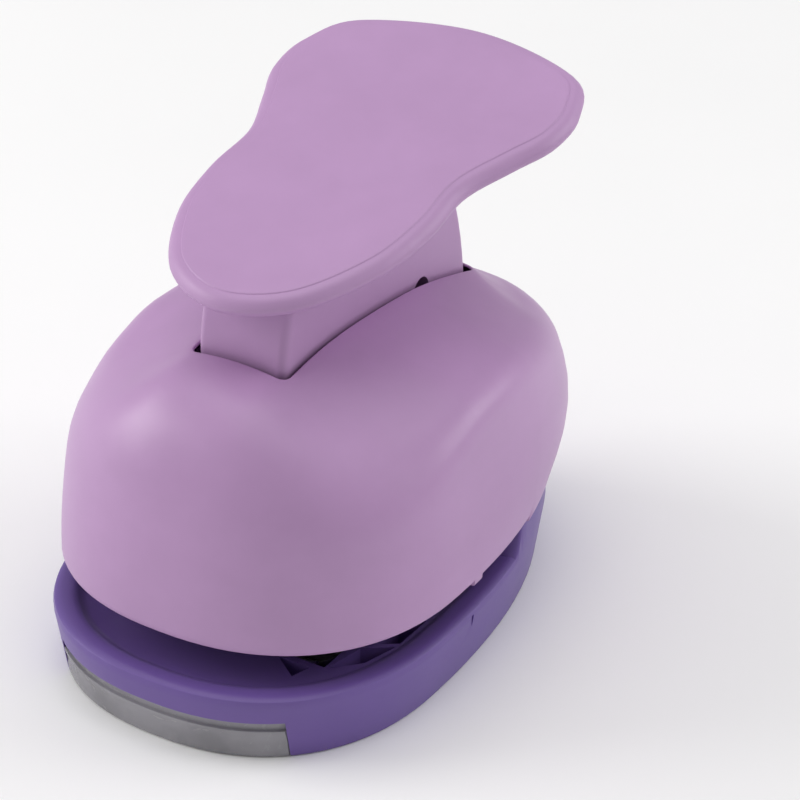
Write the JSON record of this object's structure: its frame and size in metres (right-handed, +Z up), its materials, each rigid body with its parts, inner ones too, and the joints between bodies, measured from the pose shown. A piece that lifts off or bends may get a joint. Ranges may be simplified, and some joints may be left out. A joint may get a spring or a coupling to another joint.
{
  "type": "craft punch",
  "caption": "Lever-action paper punch with an egg-shaped casing, an hourglass thumb pad, a cross-shaped die and a clear chip cover.",
  "frame": {"origin": "middle of the footprint, on the surface the punch stands on", "axes": "+Z up; -Y is the front, where the paper goes in; +X is to the right seen from the front"},
  "size_m": [0.0498, 0.074, 0.0621],
  "materials": {
    "lilac_plastic": "satin moulded",
    "violet_plastic": "satin moulded",
    "smoke_clear": "smoke-grey clear plastic",
    "plate_steel": "ground",
    "cutter_steel": "ground",
    "pin_steel": "drawn",
    "zinc_steel": "zinc plated",
    "spring_steel": "drawn wire",
    "head_plastic": "natural moulded"
  },
  "bodies": {
    "casing": {"base_frame": "violet_plastic", "bottom_cover": "smoke_clear", "die_plate": "plate_steel", "guide_plate": "plate_steel", "spacer_left": "plate_steel", "spacer_right": "plate_steel", "base_screws": "zinc_steel", "guide_screws": "zinc_steel", "housing": "lilac_plastic", "pivot_pin": "pin_steel", "stop_pin": "pin_steel", "guide_post_left": "pin_steel", "guide_post_right": "pin_steel", "post_clip_left": "zinc_steel", "post_clip_right": "zinc_steel", "return_spring_left": "spring_steel", "return_spring_right": "spring_steel"},
    "plunger": {"pressure_head": "head_plastic", "cutter": "cutter_steel", "cutter_screws": "zinc_steel"},
    "lever": {"lever": "lilac_plastic"}
  },
  "joints": [
    {"name": "lever_hinge", "type": "hinge", "parent": "casing", "child": "lever", "pos_m": [0, -0.0195, 0.032], "axis": [-1, 0, 0], "range_deg": [0, 11], "stiffness_Nm_per_rad": 0.46, "springref_deg": -10.77},
    {"name": "plunger_slide", "type": "slide", "parent": "casing", "child": "plunger", "axis": [0, 0, -1], "range_m": [0, 0.00307], "deforming": ["return_spring_left", "return_spring_right"]}
  ],
  "couplings": [
    {"joint": "plunger_slide", "follows": "lever_hinge", "m_per_rad": 0.015974}
  ]
}
